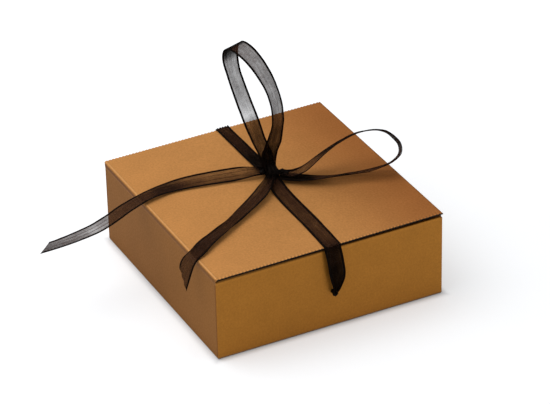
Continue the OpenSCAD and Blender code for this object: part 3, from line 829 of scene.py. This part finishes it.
def make_bow(finish):
    """The two straps, the two loops and the two tails, each a length of ribbon of its own"""
    side_route = [from_knot(*station) for station in SIDE_STATIONS]
    plain, creased, lid = finish["organza"], finish["creased"], ["lid_board"]
    make_ribbon("near_strap", strap_route(-1, 0.7, 2.5, 0.97), "strap_near", plain, STRAP_NEAR_PLIES,
                rests_on=lid, proud=1)
    make_ribbon("far_strap", strap_route(1, 7.8, 1.5, 0.78), "strap_far", plain, STRAP_FAR_PLIES,
                rests_on=lid, pleats=5, proud=-1)
    make_ribbon("standing_loop", upright_route(), "upright_loop", plain, UPRIGHT_PLIES)
    make_ribbon("lying_loop", side_route, "side_loop", plain, SIDE_PLIES, rests_on=lid)
    make_ribbon("tail_long", LONG_TAIL_ROUTE, "long_tail", creased, LONG_TAIL_PLIES, slant=6,
                rests_on=lid)
    make_ribbon("tail_short", SHORT_TAIL_ROUTE, "short_tail", creased, SHORT_TAIL_PLIES, slant=7,
                rests_on=lid)


def wrap_band(bm, centre, reach, tube, lean, seed):
    """One turn of bunched ribbon round the knot: a ring, flattened and pushed about by its folds."""
    start = bmesh.ops.create_circle(bm, segments=10, radius=tube)["verts"]
    bmesh.ops.rotate(bm, verts=start, cent=(0, 0, 0), matrix=Matrix.Rotation(math.pi / 2, 3, "X"))
    bmesh.ops.translate(bm, verts=start, vec=(reach, 0, 0))
    edges = list({e for v in start for e in v.link_edges})
    before = set(bm.verts) - set(start)
    bmesh.ops.spin(bm, geom=start + edges, cent=(0, 0, 0), axis=(0, 0, 1), angle=math.tau, steps=36,
                   use_merge=True)
    turn = Matrix.Rotation(lean, 3, "X") @ Matrix.Rotation(math.pi / 2, 3, "Y")
    for v in set(bm.verts) - before:
        wobble = noise.noise(v.co * 0.45 + Vector((seed, 0, 0)))
        v.co = (Vector(centre) + turn @ (v.co * (1 + 0.16 * wobble))) * MM


def lump(bm, centre, size, folds, depth, cells=(28, 18)):
    """Bunched ribbon: a round form pushed into folds that run over it."""
    for v in bmesh.ops.create_uvsphere(bm, u_segments=cells[0], v_segments=cells[1], radius=1)["verts"]:
        d = v.co.normalized()
        ridge = abs(noise.noise(Vector((d.x * folds, d.y * folds, d.z * folds * 0.6 + folds)))) * 2
        ripple = 0.5 + 0.5 * math.sin(math.atan2(d.y, d.x) * 5 + d.z * 4 + 2 * noise.noise(d * 2))
        push = 1 + depth * (0.4 * ripple - ridge)
        v.co = (Vector(centre) + Vector([a * b for a, b in zip(d, size)]) * push) * MM


def make_knot(finish):
    """The knot: a pinched core, three turns of bunched ribbon round it, and the end tucked in beside them."""
    bm = bmesh.new()
    top = lid_top(KNOT_X)
    lump(bm, (KNOT_X, KNOT_Y, top + 4.8), (5.2, 6.4, 4.4), 2.2, 0.3, cells=(40, 28))
    for offset, reach, tube, lean in ((-2.2, 4.6, 1.5, 0.1), (0.3, 5.0, 1.7, -0.15), (2.7, 4.4, 1.4, 0.2)):
        wrap_band(bm, (KNOT_X + offset, KNOT_Y - 0.4 * offset, top + 6), reach, tube, lean, offset)
    for place, size in (((7.2, -5.4, 6.4), (2.9, 2.3, 1.9)), ((9.6, -7.4, 5.2), (2.4, 2.6, 1.7)),
                        ((-6.0, 2.6, 5.2), (2.8, 2.4, 2.2))):
        lump(bm, (KNOT_X + place[0], KNOT_Y + place[1], top + place[2]), size, 2.6, 0.3)
    bmesh.ops.recalc_face_normals(bm, faces=bm.faces)
    piece = link("knot_core", bm, [finish["bunched"]])
    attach(piece, "ribbon")
    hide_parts("bow_knot")


def make_gathers(finish):
    """The ribbon bunched up outside each hole."""
    for side, which in ((-1, "near"), (1, "far")):
        bm = bmesh.new()
        lump(bm, (HOLE_SHIFT, side * GATHER_Y, HOLE_HEIGHT), (GATHER_R, GATHER_R, GATHER_R * 1.1), 2.0, 0.25)
        piece = link(f"bunch_{which}", bm, [finish["bunched"]])
        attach(piece, "ribbon")
        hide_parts(f"gather_{which}")


# ---------------------------------------------------------------- studio

def make_floor():
    """White table. It keeps the shadow, and is seen lifted to white. Next to the box the lift is cut back,
    which paints a dark contact shadow along its footprint.
    """
    f = Finish("white_table")
    light = f.node("LightPath", {}).node
    seen = f.math("MAXIMUM", light.outputs["Is Camera Ray"], light.outputs["Is Glossy Ray"])
    seen = f.math("MAXIMUM", seen, light.outputs["Is Transmission Ray"])
    place = f.place()
    away = f.node("VectorMath", {0: place}, 1, operation="LENGTH")
    beside = [f.minus(f.off(f.axis(place, i), 0.0), half * MM) for i, half in ((0, HALF_LEN), (1, HALF_WID))]
    gap = f.math("MAXIMUM", *beside)
    lift = f.between(away, 0.25, 0.9, 0.42, 0.9, smooth=True)
    # Painted contact shadow: close to the box's footprint the lift falls to a tenth
    lift = f.times(lift, f.between(gap, -0.002, 0.007, 0.1, 1.0, smooth=True))
    f.surface(Base_Color=(0.785, 0.805, 0.83, 1), Roughness=1.0, Specular_IOR_Level=0.0,
              Emission_Color=(1, 1, 1, 1), Emission_Strength=f.times(seen, lift))
    bm = bmesh.new()
    bmesh.ops.create_grid(bm, x_segments=2, y_segments=2, size=4)
    floor = link("table", bm, [f.material])


def make_dark_card():
    """A dark card beyond the front of the box, which only reflections see. It shades the metallic lid towards
    its free edge. Its lengths are in metres."""
    f = Finish("dark_card")
    f.surface(Base_Color=(0.02, 0.02, 0.02, 1), Roughness=1.0, Specular_IOR_Level=0.0)
    bm = bmesh.new()
    bmesh.ops.create_grid(bm, x_segments=1, y_segments=1, size=1)
    card_x, middle_y, half_width = 0.3, 0.3, 0.5
    for v in bm.verts:
        y = middle_y + half_width * v.co.x
        top = 0.42 + 0.05 * (y - 0.45)
        v.co = Vector((card_x, y, top * (0.5 + 0.5 * v.co.y)))
    card = link("card", bm, [f.material])
    for ray in ("camera", "diffuse", "transmission", "volume_scatter", "shadow"):
        setattr(card, "visible_" + ray, False)


def make_world():
    """An even room light. To the eye, in reflections and through the cloth, the room is white."""
    world = bpy.data.worlds.new("studio")
    world.use_nodes = True
    bpy.context.scene.world = world
    tree = world.node_tree
    tree.nodes.clear()
    light = tree.nodes.new("ShaderNodeLightPath")
    seen = light.outputs["Is Camera Ray"]
    for name in ("Is Glossy Ray", "Is Transmission Ray"):
        either = tree.nodes.new("ShaderNodeMath")
        either.operation = "MAXIMUM"
        tree.links.new(seen, either.inputs[0])
        tree.links.new(light.outputs[name], either.inputs[1])
        seen = either.outputs[0]
    room, white = tree.nodes.new("ShaderNodeBackground"), tree.nodes.new("ShaderNodeBackground")
    room.inputs["Color"].default_value = (1, 1, 1, 1)
    room.inputs["Strength"].default_value = AMBIENT
    white.inputs["Color"].default_value = (1, 1, 1, 1)
    white.inputs["Strength"].default_value = 1
    either = tree.nodes.new("ShaderNodeMixShader")
    tree.links.new(seen, either.inputs[0])
    tree.links.new(room.outputs[0], either.inputs[1])
    tree.links.new(white.outputs[0], either.inputs[2])
    out = tree.nodes.new("ShaderNodeOutputWorld")
    tree.links.new(either.outputs[0], out.inputs["Surface"])


def make_lamp():
    """The key lamp: a square one, from the upper left behind the box."""
    data = bpy.data.lights.new("key", "AREA")
    data.shape, data.size, data.size_y = "RECTANGLE", KEY_SIZE, KEY_SIZE
    data.energy = KEY_POWER
    lamp = bpy.data.objects.new("key", data)
    lamp.location = KEY_PLACE
    lamp.rotation_euler = (Vector(KEY_PLACE) - Vector(KEY_AIM)).to_track_quat("Z", "Y").to_euler()
    lamp.visible_camera = False
    bpy.context.scene.collection.objects.link(lamp)


make_camera()
make_floor()
make_dark_card()
make_world()
make_lamp()
finish = make_finishes()
dress_board(finish)
make_lid(finish)
make_tuck_flap(finish)
make_hinge_fold(finish)
make_tuck_fold(finish)
make_bow(finish)
make_knot(finish)
make_gathers(finish)

view = bpy.context.scene.view_settings
view.view_transform = "Standard"
